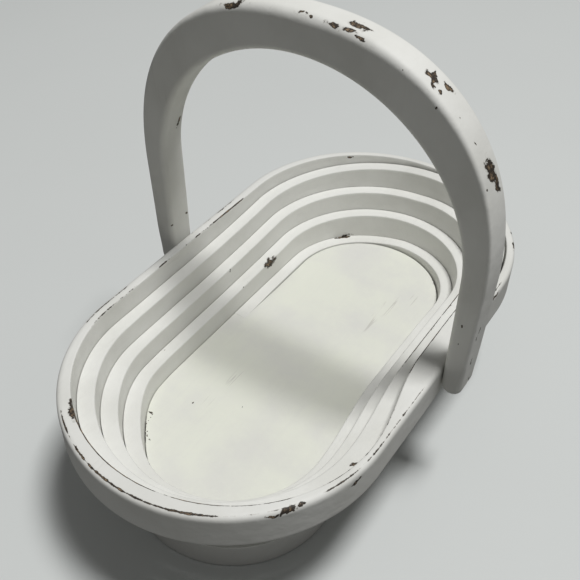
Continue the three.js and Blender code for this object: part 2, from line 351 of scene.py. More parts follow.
def chalk_paint(name, grain, faint_cracks, chips=(), cracks=(), coat=CHALK):
    """Matt white paint over pine: brush strokes with the grain, cracks, scuffs, and wood where it is gone,
    which along the kerfs is painted shade.
    """
    material = bpy.data.materials.new(name)
    material.use_nodes = True
    tree = material.node_tree
    tree.nodes.clear()
    spot = knot(tree, "ShaderNodeAttribute", {}, attribute_name="place").outputs["Vector"]
    gone = knot(tree, "ShaderNodeAttribute", {}, attribute_name="worn_and_kerf_shade").outputs["Fac"]
    gone = chipped(tree, torn(tree, spot), gone, chips)
    clouds = stretched(tree, spot, *CLOUDS)
    strokes = stretched(tree, spot, grain, *STROKES)
    fibres = stretched(tree, spot, tuple(g * FIBRE_DRAW for g in grain), *FIBRES)
    patches = stretched(tree, spot, *PATCHES)
    grit = stretched(tree, spot, *GRIT)
    flakes = stretched(tree, spot, *FLAKES)
    lumps = stretched(tree, spot, *LUMPS)
    tone = blended(tree, ramp(tree, clouds, *THIN_IN_CLOUDS), coat, THIN_CHALK)
    tone = blended(tree, ramp(tree, strokes, *THIN_IN_STROKES), tone, THIN_CHALK)
    off_line = combined(tree, combined(tree, fibres, NOISE_MIDDLE, "SUBTRACT"), 0.0, "ABSOLUTE")
    line = ramp(tree, off_line, *CRACK_LINE)
    faint = ramp(tree, patches, *CRACK_PATCHES, 0.0, faint_cracks)
    if cracks:
        faint = combined(tree, faint, cracked(tree, spot, cracks), "MAXIMUM")
    line = combined(tree, line, faint, "MULTIPLY")
    tone = blended(tree, line, tone, SCUFF_GREY)
    ragged = combined(tree, combined(tree, flakes, NOISE_MIDDLE, "SUBTRACT"), FLAKE_REACH, "MULTIPLY")
    gritty = combined(tree, combined(tree, grit, NOISE_MIDDLE, "SUBTRACT"), GRIT_REACH, "MULTIPLY")
    reach = combined(tree, combined(tree, gone, ragged, "ADD"), gritty, "ADD")
    scuffed = ramp(tree, reach, *SCUFFED)
    scuffed = combined(tree, scuffed, ramp(tree, gone, *SCUFFED_BY_WEAR), "MULTIPLY")
    bare = combined(tree, ramp(tree, reach, *BARE), ramp(tree, gone, *BARE_BY_WEAR), "MULTIPLY")
    wood = blended(tree, ramp(tree, grit, *TAN_IN_GRIT), DARK_WOOD, TAN_WOOD)
    wood = blended(tree, ramp(tree, reach, *DARK_AT_EDGE), wood, DARK_WOOD)
    tone = blended(tree, scuffed, tone, SCUFF_GREY)
    tone = blended(tree, bare, tone, wood)
    height = combined(tree, strokes, STROKE_RELIEF, "MULTIPLY")
    layers = ((grit, GRIT_RELIEF), (lumps, LUMP_RELIEF), (line, CRACK_RELIEF), (bare, BARE_RELIEF))
    for layer, relief in layers:
        height = combined(tree, height, combined(tree, layer, relief, "MULTIPLY"), "ADD")
    raised = {"Strength": RELIEF_STRENGTH, "Distance": RELIEF_DEPTH * MM, "Height": height}
    surface = {
        "Base Color": tone,
        "Roughness": ramp(tree, clouds, *GLOSS),
        "Normal": knot(tree, "ShaderNodeBump", raised).outputs[0],
        "Specular IOR Level": PAINT_SPECULAR,
    }
    paint = knot(tree, "ShaderNodeBsdfPrincipled", surface)
    knot(tree, "ShaderNodeOutputMaterial", {"Surface": paint.outputs[0]})
    return material


GRAIN_ALONG = 16.0
GRAIN_ACROSS = 330.0
BOWL_GRAIN = (GRAIN_ALONG, GRAIN_ACROSS, GRAIN_ACROSS)
FAINT_CRACKS = 0.10
foot_paint = chalk_paint("chalk_paint_foot", BOWL_GRAIN, FAINT_CRACKS)
foot_edge = sanded(
    [
        (FOOT_RADIUS - FOOT_LAP, 0.0, SAWN_ROUND, 0.0),
        (FOOT_RADIUS, 0.0, FOOT_ROUND, FOOT_WEAR),
        (FOOT_RADIUS, FOOT_TOP, SAWN_ROUND, 0.0),
        (FOOT_RADIUS - FOOT_LAP, FOOT_TOP, SAWN_ROUND, 0.0),
    ],
    [(), FOOT_CUTS, (), ()],
)
foot_outline = [(FOOT_RADIUS * t, 0.0, 0.0) for t in UNDER_RINGS]
foot_outline += [p for p in foot_edge if p[0] > FOOT_RADIUS - FOOT_LAP + LAP_TRIM]
foot_outline += [(FOOT_RADIUS * t, FOOT_TOP, 0.0) for t in reversed(UNDER_RINGS)]
foot = make_piece(
    "foot",
    [[set_out(s, r, z) + (e,) for r, z, e in foot_outline] for s in TURN[:-1]],
    ring=True, tube=False,
)
dress(foot, foot_paint)
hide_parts("foot_block")
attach(foot, "base")

# The floor: the solid middle of the board, left inside the last turn of the saw.
# Its sides slope with the tilted blade, and its face shows the pine's grain and
# fine drying cracks through the paint.
RIM_RADIUS = 101.3
LEFT_RIM_WIDTH = 7.7
FAR_RIM_WIDTH = 6.5
NEAR_RIM_WIDTH = 10.7
CORNER_RIM_WIDTH = 6.0
PITCH = 9.87
CORNER_SPREAD = 2.0
SPREAD_FROM_X = -60.0
STEP_DROP = 14.0
STEPS = 4
RIM_TOP = FLOOR_TOP + STEP_DROP * STEPS
CUT_MIDDLE = RIM_RADIUS - 0.5 * PITCH * STEPS
BLADE_SLOPE = math.tan(math.radians(3.4))
SAW_KERF = 0.5
CUT_WIDTH = SAW_KERF + STEP_DROP * BLADE_SLOPE
SHIFT_FROM_X = -80.0
SHIFT_TO_X = -8.0
CUT_RUN_OUT = 45.0
LEAST_SLOT = 0.02
FLOOR_LAP = 6.0
FLOOR_ROUND = 0.8
FLOOR_WEAR = 0.9
FLOOR_RINGS = (0.0, 0.12, 0.24, 0.36, 0.48, 0.6, 0.7, 0.78, 0.85)
FLOOR_CUTS = (0.1, 0.35, 0.65, 0.9)


def spread(station):
    """Extra distance between turns, which grows round the near left corner and is gone at the near tip."""
    side, x, ux, uy = station
    if side != "left" and (side != "near" or uy <= 0.0):
        return 0.0
    whole = HALF_STRAIGHT + SPREAD_FROM_X + CUT_MIDDLE * 0.5 * math.pi
    along = (SPREAD_FROM_X - x + CUT_MIDDLE * math.asin(-ux)) / whole
    return CORNER_SPREAD * math.sin(math.pi * max(0.0, along)) ** 2


def saw_radius(turn, station):
    """Radius of the saw's path on a turn: it steps inward by one turn along the right side."""
    side, x, ux, uy = station
    near_right = CORNER_RIM_WIDTH if turn == 1 else NEAR_RIM_WIDTH
    if side == "left":
        outside = LEFT_RIM_WIDTH
    elif side == "near":
        outside = mix(LEFT_RIM_WIDTH if uy > 0 else near_right, NEAR_RIM_WIDTH, ux * ux)
    elif side == "back":
        shifted = smooth((x - SHIFT_FROM_X) / (SHIFT_TO_X - SHIFT_FROM_X))
        outside = mix(near_right, FAR_RIM_WIDTH + PITCH, shifted)
    else:
        outside = mix(LEFT_RIM_WIDTH if uy > 0 else FAR_RIM_WIDTH, FAR_RIM_WIDTH, ux * ux)
    return RIM_RADIUS - outside - (PITCH + spread(station)) * (turn - 1)


def before_cut_end(station):
    side, x, _, _ = station
    return side in ("start", "far") or (side == "left" and x > CUT_END_X - NEARLY)


def open_cut(turn, station):
    """How open the saw's slot is: it closes under the paint where the last turn runs out."""
    side, x, _, _ = station
    if turn > STEPS and side == "left":
        return max(LEAST_SLOT, smooth((x - CUT_END_X) / CUT_RUN_OUT))
    return 1.0


def floor_section(station):
    turn = STEPS + 1 if before_cut_end(station) else STEPS
    slot = open_cut(turn, station)
    outer = saw_radius(turn, station) - 0.5 * CUT_WIDTH * slot
    under = outer - BOARD * BLADE_SLOPE
    low = FLOOR_TOP - BOARD
    edge = sanded(
        [
            (outer - FLOOR_LAP, FLOOR_TOP, SAWN_ROUND, 0.0),
            (outer, FLOOR_TOP, FLOOR_ROUND * slot, FLOOR_WEAR * slot),
            (under, low, FLOOR_ROUND, 0.0),
            (under - FLOOR_LAP, low, SAWN_ROUND, 0.0),
        ],
        [(), FLOOR_CUTS, (), ()],
    )
    outline = [(outer * t, FLOOR_TOP, 0.0) for t in FLOOR_RINGS]
    outline += [p for p in edge if p[0] > outer - FLOOR_LAP + LAP_TRIM]
    outline += [(under * t, low, 0.0) for t in reversed(UNDER_RINGS)]
    return [set_out(station, r, z) + (e,) for r, z, e in outline]


def level_rubs_and_kerf_shade(rubs_and_kerf_shade, z):
    """Rubbed places and places of painted kerf shade on one level, each given as x, y, reach and strength."""
    return [(x, y, z, reach, strength) for x, y, reach, strength in rubs_and_kerf_shade]


floor_stations = []
for s, after in zip(TURN, TURN[1:]):
    floor_stations.append(s)
    if before_cut_end(s) and not before_cut_end(after):
        floor_stations.append(("left", CUT_END_X - 0.5 * JOIN_GAP, 0.0, 1.0))
CREAM_CHALK = (0.760, 0.772, 0.686, 1.0)
FLOOR_FAINT_CRACKS = 0.04
FLOOR_CRACKS = (
    (-71.0, 28.0, 9.0), (-45.0, 26.0, 11.0), (50.0, -21.0, 14.0), (76.0, -25.5, 16.0), (90.0, -36.0, 9.0),
)
# Small chips on the floor: x, y, way it runs in x and y, length and width.
FLOOR_CHIPS = (
    (-78.0, 33.7, 1.0, 0.2, 1.4, 1.0),
    (-12.0, 16.5, 1.0, 0.0, 1.5, 1.2),
    (-101.0, 6.5, 1.0, 0.0, 1.2, 0.8),
    (-62.0, 7.0, 1.0, 0.0, 1.6, 0.7),
    (-104.0, 50.0, 0.8, 0.6, 1.6, 1.0),
    (-107.0, 48.6, 0.8, 0.6, 1.8, 1.2),
    (-108.6, 45.8, 0.7, 0.7, 1.5, 1.1),
    (-110.6, 46.6, 0.7, 0.7, 1.8, 1.2),
    (-111.6, 43.6, 0.7, 0.7, 1.5, 1.1),
    (-114.4, 42.6, 0.6, 0.8, 1.8, 1.1),
    (-116.8, 38.0, 0.5, 0.9, 1.6, 1.0),
    (-112.6, 46.4, 0.7, 0.7, 2.2, 1.4),
    (-109.0, 49.6, 0.7, 0.7, 2.2, 1.4),
    (-115.6, 40.4, 0.7, 0.7, 1.6, 1.2),
    (-100.0, 52.6, 0.9, 0.4, 1.8, 1.0),
    (-119.4, 33.0, 0.4, 0.9, 1.6, 1.0),
)
FLOOR_RUBS = (
    (-113.0, 44.0, 7.0, 0.55), (-105.0, 50.0, 7.0, 0.55), (-117.0, 37.0, 6.0, 0.45),
    (118.7, -37.9, 8.0, 0.50), (105.6, -41.0, 8.0, 0.50),
)
floor_chips = []
for x, y, way_x, way_y, length, width in FLOOR_CHIPS:
    floor_chips.append(((x, y, FLOOR_TOP), (way_x, way_y, 0.0), length, width))
floor_paint = chalk_paint(
    "chalk_paint_floor", BOWL_GRAIN, FLOOR_FAINT_CRACKS, floor_chips, FLOOR_CRACKS, CREAM_CHALK
)
floor_panel = make_piece(
    "floor", [floor_section(s) for s in floor_stations],
    ring=True, tube=False, rubs_and_kerf_shade=level_rubs_and_kerf_shade(FLOOR_RUBS, FLOOR_TOP),
)
dress(floor_panel, floor_paint)
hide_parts("floor_panel")
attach(floor_panel, "base")

# The steps: one long strip of the board, freed by a single spiral saw cut. The strip
# bends down round the far end and along the left side and its slanted sides jam, so
# that each turn stops a step below the last one.
SINK_AT_TIP = (0.29, 0.44, 0.49, 0.68)
SINK_DELAY = (2.4, 2.4, 0.7, 0.7)
SINK_AT_CORNER = (0.66, 0.66, 0.71, 1.2)
STEP_ROUND = 0.9
STEP_OUTER_WEAR = 0.35
STEP_UNDER_WEAR = 0.3
UNDER_ROUND = 0.6
UNDER_PLANED = 0.8
STRIP_DEPTH = BOARD - UNDER_PLANED
OUTER_CUTS = (0.08, 0.36, 0.64, 0.92)
UNDER_CUTS = (0.1, 0.5, 0.9)
SIDE_CUTS = (0.06, 0.28, 0.5, 0.72, 0.94)
FINE_CUTS = (0.06, 0.22, 0.4, 0.6, 0.78, 0.94)


def reached(turn, station):
    """Share of one step that the strip has dropped by a station, before the bend is eased."""
    side, x, ux, uy = station
    tip = SINK_AT_TIP[turn - 1]
    corner = SINK_AT_CORNER[turn - 1]
    if side == "far" and uy > 0:
        return mix(tip, corner, uy)
    if side in ("start", "far"):
        whole = HALF_STRAIGHT - SEAM_X + CUT_MIDDLE * 0.5 * math.pi
        along = (x - SEAM_X + CUT_MIDDLE * math.atan2(ux, -uy)) / whole
        return tip * max(0.0, along) ** SINK_DELAY[turn - 1]
    if side == "left":
        run = (HALF_STRAIGHT - x) / (HALF_STRAIGHT - SINK_END_X)
        return mix(corner, max(corner, 1.0), run)
    return 1.0


def strip_section(turn, station):
    top = RIM_TOP - STEP_DROP * (turn - 1 + smooth(reached(turn, station)))
    outer = saw_radius(turn, station) - 0.5 * CUT_WIDTH
    slot = open_cut(turn + 1, station)
    inner = saw_radius(turn + 1, station) + 0.5 * CUT_WIDTH * slot
    shrink = BOARD * BLADE_SLOPE
    outline = sanded(
        [
            (outer, top, SAWN_ROUND, STEP_OUTER_WEAR),
            (outer - shrink, top - STRIP_DEPTH, UNDER_ROUND, 0.0),
            (inner - shrink, top - STRIP_DEPTH, UNDER_ROUND, STEP_UNDER_WEAR),
            (inner, top, STEP_ROUND * slot, slot),
        ],
        [OUTER_CUTS, UNDER_CUTS, SIDE_CUTS, FINE_CUTS],
    )
    return [set_out(station, r, z) + (e,) for r, z, e in outline]


def last_station(test):
    """Number of the last station on the turn that passes a test of side, x, outward x and outward y."""
    return max(i for i, s in enumerate(TURN) if test(*s))


STRAIGHT_END = last_station(lambda side, x, ux, uy: side == "start")
CORNER_AT = last_station(lambda side, x, ux, uy: side == "far" and uy < -ux)
TIP_AT = last_station(lambda side, x, ux, uy: side == "far" and uy < NEARLY)
FAR_END = last_station(lambda side, x, ux, uy: side == "far")
SINK_END = last_station(lambda side, x, ux, uy: side == "left" and x > SINK_END_X - NEARLY)
CUT_END = last_station(lambda side, x, ux, uy: side == "left" and x > CUT_END_X - NEARLY)


def strip_lengths(turn):
    """The turn in lengths: those that bend as it drops, and a last one that is fully down."""
    lengths = [
        ("right", 0, STRAIGHT_END),
        ("corner", STRAIGHT_END, CORNER_AT),
        ("end", CORNER_AT, TIP_AT),
        ("far", TIP_AT, FAR_END),
    ]
    if turn == STEPS:
        return lengths + [("left", FAR_END, CUT_END)]
    return lengths + [("left", FAR_END, SINK_END), ("near", SINK_END, len(TURN) - 1)]


def bend_line(turn, part, first, last):
    """Where a bending length leaves the turn above and where it has reached its own."""
    tip = SINK_AT_TIP[turn - 1]
    corner = SINK_AT_CORNER[turn - 1]
    middle = 0.5 * (saw_radius(turn, TURN[TIP_AT]) + saw_radius(turn + 1, TURN[TIP_AT]))
    if part == "left":
        origin = Vector((HALF_STRAIGHT, middle, 0.0))
        drop = Vector(((corner - 1.0) / (HALF_STRAIGHT - SINK_END_X), (corner - tip) / middle, 0.0))
        begun = corner
    elif part == "far":
        origin = Vector((0.0, 0.0, 0.0))
        drop = Vector((0.0, (corner - tip) / middle, 0.0))
        begun = tip
    else:
        origin = Vector(set_out(TURN[first], middle, 0.0))
        chord = Vector(set_out(TURN[last], middle, 0.0)) - origin
        begun = reached(turn, TURN[first])
        drop = chord * (reached(turn, TURN[last]) - begun) / chord.length_squared
    low = origin - drop * begun / drop.length_squared
    high = origin + drop * (1.0 - begun) / drop.length_squared
    return low, high


def cut_strip(turn, name, inside, rubs_and_kerf_shade=()):
    for part, first, last in strip_lengths(turn):
        sections = [strip_section(turn, s) for s in TURN[first : last + 1]]
        piece = make_piece(name + "_" + part, sections, rubs_and_kerf_shade=level_rubs_and_kerf_shade(rubs_and_kerf_shade, RIM_TOP - STEP_DROP))
        dress(piece, step_paint)
        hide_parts(name)
        if part == "near" or (part == "left" and SINK_AT_CORNER[turn - 1] >= 1.0):
            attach(piece, inside)
        else:
            low, high = bend_line(turn, part, first, last)
            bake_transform(piece)


STEP_CHIPS = (
    ((52.0, 64.6, 59.6), (1.0, 0.0, 0.0), 14.0, 4.4),
    ((20.8, 64.9, 60.1), (1.0, 0.0, 0.0), 6.0, 1.8),
    ((15.9, 74.6, 73.6), (1.0, 0.0, 0.0), 2.2, 1.8),
    ((-62.1, 71.6, 60.0), (1.0, 0.0, 0.0), 2.0, 1.6),
    ((124.5, 43.5, 46.0), (0.81, -0.58, 0.0), 12.0, 2.8),
    ((-89.0, -89.3, 88.0), (0.93, -0.36, 0.0), 5.5, 1.6),
    ((57.0, -75.6, 88.0), (1.0, 0.0, 0.0), 5.0, 2.0),
    ((30.5, -75.4, 88.0), (1.0, 0.0, 0.0), 6.0, 2.8),
)
# Painted shade: dark bare lines along the kerf edges on the right side of the second and first steps, where
# the saw's slots lie in shade.
SECOND_STEP_KERF_SHADE = ((50.0, -75.6, 9.0, 0.60), (64.0, -75.6, 9.0, 0.55), (78.0, -75.6, 9.0, 0.45))
FIRST_STEP_KERF_SHADE = (
    (40.0, -75.6, 9.0, 0.60), (26.0, -75.6, 9.0, 0.62), (12.0, -75.6, 9.0, 0.60), (-2.0, -75.8, 9.0, 0.45),
)
step_paint = chalk_paint("chalk_paint_steps", BOWL_GRAIN, FAINT_CRACKS, STEP_CHIPS)
cut_strip(4, "fourth_step", "base")
cut_strip(3, "third_step", "third_turn")
cut_strip(2, "second_step", "second_turn", SECOND_STEP_KERF_SHADE)
cut_strip(1, "first_step", "first_turn", FIRST_STEP_KERF_SHADE)

# The rim: the outermost ring of the board, closed all round, with a wide block at the
# right where the saw went in. Its outer edge is sanded round and the paint is rubbed
# through on it in long broken lines.
RIM_ROUND = 3.6
RIM_UNDER_ROUND = 1.8
RIM_UNDER_WEAR = 0.5
RIM_FAINT_CRACKS = 0.12
WORN_LINE = 2.1
WORN_WIDTH = 0.46
WORN_MARGIN = 0.1
RIM_CHIPS = (
    ((-146.5, -75.4, 101.2), (0.85, -0.62, 0.0), 7.0, 2.2),
    ((-140.5, -81.0, 100.8), (0.85, -0.62, 0.0), 10.0, 4.0),
    ((-133.0, -86.0, 100.9), (0.85, -0.62, 0.0), 7.5, 2.4),
    ((-104.0, -98.5, 97.3), (0.96, -0.20, 0.27), 10.0, 1.9),
    ((-155.2, 54.8, 101.7), (-0.57, -0.82, 0.0), 14.0, 4.6),
    ((68.0, -100.9, 100.3), (1.0, 0.0, 0.0), 13.0, 2.2),
    ((122.6, -91.3, 100.6), (0.91, 0.41, 0.0), 8.0, 2.6),
    ((137.0, -84.0, 101.0), (0.85, 0.52, 0.0), 6.0, 2.2),
    ((154.2, 59.5, 101.1), (0.64, -0.77, 0.0), 4.0, 2.0),
    ((125.3, 83.8, 101.9), (0.87, -0.49, 0.0), 3.5, 1.8),
)
OUTER_RUBS = (
    (-149.0, 73.3, 8.0, 0.45), (-165.0, 51.0, 9.0, 0.40), (-173.7, 33.4, 2.5, 0.60),
    (-175.5, 28.0, 2.5, 0.60), (-177.6, 21.0, 2.5, 0.60), (-178.6, 12.2, 7.0, 0.45),
    (-179.5, 0.0, 7.0, 0.35), (-179.1, -10.0, 7.0, 0.45), (-177.5, -19.0, 7.0, 0.38),
    (-175.0, -29.0, 7.0, 0.45), (-171.5, -38.0, 7.0, 0.45), (-167.2, -48.0, 7.0, 0.42),
    (-118.2, -92.8, 7.0, 0.55), (-108.0, -95.8, 8.0, 0.60), (-87.7, -99.7, 8.0, 0.50),
    (-76.0, -100.0, 8.0, 0.45), (-62.0, -100.0, 8.0, 0.48), (-48.0, -100.0, 8.0, 0.45),
    (-34.0, -100.0, 8.0, 0.50), (75.3, -100.7, 9.0, 0.60), (-95.0, 100.0, 10.0, 0.50),
    (-80.0, 101.0, 9.0, 0.50), (-64.0, 101.0, 9.0, 0.45),
)
# Rubbed places on the rim's inner edge; the last five, along the kerf by the right block, are painted shade
# as a dark bare line.
INNER_RUBS_AND_KERF_SHADE = (
    (-155.0, 52.4, 8.0, 0.60), (-160.8, 42.9, 8.0, 0.55), (-166.0, 31.2, 8.0, 0.55),
    (-169.5, 19.0, 8.0, 0.55), (-171.2, 8.0, 8.0, 0.52), (-171.4, -3.2, 7.0, 0.48),
    (-170.6, -12.7, 6.0, 0.45), (-165.5, -34.5, 8.0, 0.60), (-158.7, -49.1, 8.0, 0.62),
    (-149.5, -62.3, 8.0, 0.62), (-138.2, -74.2, 8.0, 0.60), (-30.0, 94.3, 9.0, 0.35),
    (-10.0, 94.3, 9.0, 0.35), (8.0, 94.3, 9.0, 0.38), (25.0, 94.3, 9.0, 0.50),
    (40.0, 94.3, 9.0, 0.52), (54.0, 94.3, 8.0, 0.45), (40.0, -85.6, 9.0, 0.60),
    (26.0, -85.6, 9.0, 0.60), (12.0, -85.6, 9.0, 0.60), (-2.0, -85.7, 9.0, 0.52),
    (-16.0, -86.2, 9.0, 0.45),
)


def rim_section(station):
    inner = saw_radius(1, station) + 0.5 * CUT_WIDTH
    low = RIM_TOP - BOARD
    outline = sanded(
        [
            (RIM_RADIUS, RIM_TOP, RIM_ROUND, 1.0),
            (RIM_RADIUS, low, RIM_UNDER_ROUND, RIM_UNDER_WEAR),
            (inner - BOARD * BLADE_SLOPE, low, UNDER_ROUND, 0.0),
            (inner, RIM_TOP, STEP_ROUND, 1.0),
        ],
        [FINE_CUTS, UNDER_CUTS, SIDE_CUTS, SIDE_CUTS],
    )
    section = []
    for r, z, edge in outline:
        if r > RIM_RADIUS - RIM_ROUND - WORN_MARGIN and z > RIM_TOP - RIM_ROUND - WORN_MARGIN:
            edge = math.exp(-(((r - RIM_RADIUS + WORN_LINE) / WORN_WIDTH) ** 2))
        section.append(set_out(station, r, z) + (edge,))
    return section


rim_paint = chalk_paint("chalk_paint_rim", BOWL_GRAIN, RIM_FAINT_CRACKS, RIM_CHIPS)
rim = make_piece(
    "rim", [rim_section(s) for s in TURN],
    ring=True, rubs_and_kerf_shade=level_rubs_and_kerf_shade(OUTER_RUBS + INNER_RUBS_AND_KERF_SHADE, RIM_TOP),
)
dress(rim, rim_paint)
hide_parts("rim")
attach(rim, "rim")

# The pivots: two short hardwood dowels, glued into the rim at half length and loose in
# the handle's legs. Their ends are slightly domed and painted over with the rest.
PIVOT_Z = RIM_TOP - 0.5 * BOARD
PIN_RADIUS = 3.0
PIN_ROUND = 0.7
PIN_ROUND_CUTS = 4
PIN_SIDES = 40
PIN_INSET = 0.3
PIN_STOP = 2.0
PIN_WEAR = 0.3
PIN_RINGS = (0.3, 0.6, 0.9)
HANDLE_CLEARANCE = 0.6
LEG_END_WIDTH = 13.0
HANDLE_INNER = RIM_RADIUS + HANDLE_CLEARANCE
# The dome on a dowel's end, as shares of its radius with the rise over its edge.
PIN_DOME = ((0.4, 0.12), (0.0, 0.15))
# The side that each pin is on, and how deep it sits in the rim.
PIN_PLACES = {
    "left_pin": (1.0, LEFT_RIM_WIDTH - PIN_STOP),
    "right_pin": (-1.0, FAR_RIM_WIDTH + 0.5 * PITCH),
}
dowel_paint = chalk_paint("chalk_paint_dowel", (GRAIN_ACROSS, GRAIN_ALONG, GRAIN_ACROSS), FAINT_CRACKS)
for pin_name, (side, depth) in PIN_PLACES.items():
    head = HANDLE_INNER + LEG_END_WIDTH - PIN_INSET
    tail = RIM_RADIUS - depth
    dowel_outline = [(0.0, tail), (PIN_RADIUS - PIN_ROUND, tail), (PIN_RADIUS, tail + PIN_ROUND)]
    dowel_outline += [(PIN_RADIUS, mix(tail, head, t)) for t in PIN_RINGS]
    for i in range(PIN_ROUND_CUTS + 1):
        t = math.radians(90.0 * i / PIN_ROUND_CUTS)
        r = PIN_RADIUS - PIN_ROUND * (1 - math.cos(t))
        dowel_outline.append((r, head - PIN_ROUND * (1 - math.sin(t))))
    dowel_outline += [(PIN_RADIUS * share, head + rise) for share, rise in PIN_DOME]
    dowel_sections = []
    for i in range(PIN_SIDES):
        t = math.radians(360.0 * i / PIN_SIDES)
        section = [(r * math.cos(t), side * y, PIVOT_Z + r * math.sin(t), PIN_WEAR) for r, y in dowel_outline]
        dowel_sections.append(section)
    dowel = make_piece(pin_name, dowel_sections, ring=True, tube=False)
    dress(dowel, dowel_paint)
    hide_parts(pin_name)
    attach(dowel, "rim")

# The handle: a long arch sawn from thinner board, full at the shoulders, its legs narrowing
# to round ends, sanded soft on every edge and most of all at the crown. It swings on the two
# dowels and stands leaning a little. The paint has flaked off its crown and right shoulder.
HANDLE_BOARD = 20.0
LEG_WIDTH = 15.4
CROWN_WIDTH = 23.7
SHOULDER_FULLNESS = 2.3
LEG_ROUND = 1.8
CROWN_ROUND = 5.5
CROWN_SOFTENING = 4
INNER_ROUND = 3.6
LEG_END_SOFT = 25.0
HANDLE_LEAN = math.radians(1.2)
HANDLE_BORE = 3.3
HANDLE_STEP = 2.5
END_STEP = 7.5
CORNER_CUTS = 6
ARRIS_SPAN = 24.0
FACE_CUTS = (-0.95, -0.6, -0.3, 0.0, 0.3, 0.6, 0.95)
HANDLE_OUTER = HANDLE_INNER + LEG_WIDTH
HANDLE_CROWN = HANDLE_INNER + CROWN_WIDTH
BORE_LENGTH = 2.4 * HANDLE_OUTER
ARCH_Z = PIVOT_Z + HALF_STRAIGHT


def arch_radius(t):
    """Distance of the outer edge from the middle of the arch."""
    across = abs(math.cos(t)) / HANDLE_OUTER
    rise = math.sin(t) / HANDLE_CROWN
    return (across ** SHOULDER_FULLNESS + rise ** SHOULDER_FULLNESS) ** (-1.0 / SHOULDER_FULLNESS)


def leg_station(side, height, down, across):
    """A section across a leg at a height over its pivot, where the leg narrows to its end."""
    half_width = 0.5 * mix(LEG_END_WIDTH, LEG_WIDTH, height / HALF_STRAIGHT)
    line = HANDLE_INNER + half_width
    outer_round = mix(INNER_ROUND, LEG_ROUND, smooth(height / LEG_END_SOFT))
    return (side * line, PIVOT_Z + height, side, 0.0, down, across, half_width, outer_round)


def leaned(x, y, z):
    """A point of the upright handle after it has leaned towards the near end."""
    rise = z - PIVOT_Z
    ahead = x * math.cos(HANDLE_LEAN) - rise * math.sin(HANDLE_LEAN)
    return (ahead, y, PIVOT_Z + x * math.sin(HANDLE_LEAN) + rise * math.cos(HANDLE_LEAN))


def rounded_corner(soft):
    """A corner from a face round to a side: place across the board, inset and wear of the arris."""
    corner = []
    for i in range(CORNER_CUTS + 1):
        a = 90.0 * i / CORNER_CUTS
        t = math.radians(a)
        edge = math.exp(-(((a - 45.0) / ARRIS_SPAN) ** 2))
        deep = 0.5 * HANDLE_BOARD - soft * (1.0 - math.cos(t))
        corner.append((deep, soft * (1.0 - math.sin(t)), edge))
    return corner


def handle_loop(outer_round):
    """The section as a loop: front face, outer side, back face and inner side, with round corners between."""
    half = 0.5 * HANDLE_BOARD
    halves = ((-1.0, 1.0, outer_round, INNER_ROUND), (1.0, -1.0, INNER_ROUND, outer_round))
    loop = []
    for face, outward, soft, other in halves:
        corner = rounded_corner(soft)
        loop += [(face * half, soft if u > 0.0 else other, outward * u, 0.0) for u in FACE_CUTS]
        loop += [(face * deep, inset, outward, edge) for deep, inset, edge in corner]
        loop += [(-face * u * (half - soft), 0.0, outward, 0.0) for u in FACE_CUTS]
        loop += [(-face * deep, inset, outward, edge) for deep, inset, edge in reversed(corner)]
    return loop


handle_stations = []
for a in span(90.0, 0.0, END_STEP)[:-1]:
    t = math.radians(a)
    handle_stations.append(leg_station(1.0, 0.0, math.sin(t), math.cos(t)))
for z in span(0.0, HALF_STRAIGHT, HANDLE_STEP):
    handle_stations.append(leg_station(1.0, z, 0.0, 1.0))
for a in span(0.0, 180.0, math.degrees(HANDLE_STEP / HANDLE_OUTER))[1:-1]:
    t = math.radians(a)
    line = 0.5 * (arch_radius(t) + HANDLE_INNER)
    arch = (line * math.cos(t), ARCH_Z + line * math.sin(t), math.cos(t), math.sin(t))
    outer_round = mix(LEG_ROUND, CROWN_ROUND, math.sin(t) ** CROWN_SOFTENING)
    handle_stations.append(arch + (0.0, 1.0, line - HANDLE_INNER, outer_round))
for z in span(HALF_STRAIGHT, 0.0, HANDLE_STEP):
    handle_stations.append(leg_station(-1.0, z, 0.0, 1.0))
for a in span(0.0, 90.0, END_STEP)[1:]:
    t = math.radians(a)
    handle_stations.append(leg_station(-1.0, 0.0, math.sin(t), math.cos(t)))

handle_sections = []
for y, z, ny, nz, down, across, half_width, outer_round in handle_stations:
    section = []
    for x, inset, share, edge in handle_loop(outer_round):
        reach = half_width - inset
        w = share * reach * across
        p = (x, y + ny * w, z + nz * w - reach * down)
        waver = WOBBLE * noise.noise(Vector(p) / WOBBLE_LENGTH)
        section.append(leaned(p[0], p[1] + ny * waver, p[2] + nz * waver) + (edge,))
    handle_sections.append(section)

